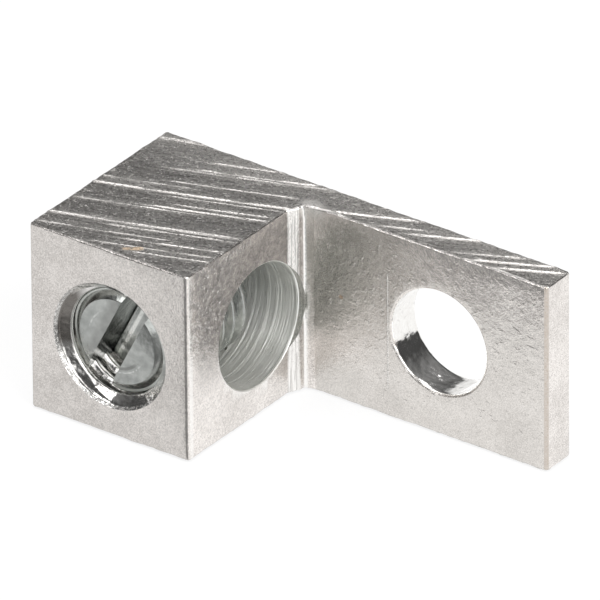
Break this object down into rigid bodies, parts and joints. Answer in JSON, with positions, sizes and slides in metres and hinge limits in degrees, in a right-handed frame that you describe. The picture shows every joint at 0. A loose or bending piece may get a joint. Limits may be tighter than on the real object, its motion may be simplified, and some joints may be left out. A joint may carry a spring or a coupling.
{
  "type": "mechanical lug",
  "caption": "Sawn aluminium mechanical lug: a square block with a wire bore and a slotted set screw, and a flat tongue with a stud hole.",
  "frame": {"origin": "centre of the stud hole on the mounting face", "axes": "+X along the tongue to its free end, +Y out of the mounting face, +Z across the sawn width, up as the lug stands on a sawn side"},
  "size_m": [0.0297, 0.0138, 0.0126],
  "materials": {
    "plated_body": "tin-plated aluminium, tumbled satin on the extruded faces and saw-marked on the two cut sides",
    "plated_screw": "tin-plated aluminium, smooth turned face with fine rolled threads"
  },
  "bodies": {
    "lug": {"lug_body": "plated_body"},
    "screw": {"set_screw": "plated_screw"}
  },
  "joints": [
    {"name": "set_screw_travel", "type": "slide", "parent": "lug", "child": "screw", "axis": [0, -1, 0], "range_m": [0, 0.00635]}
  ]
}
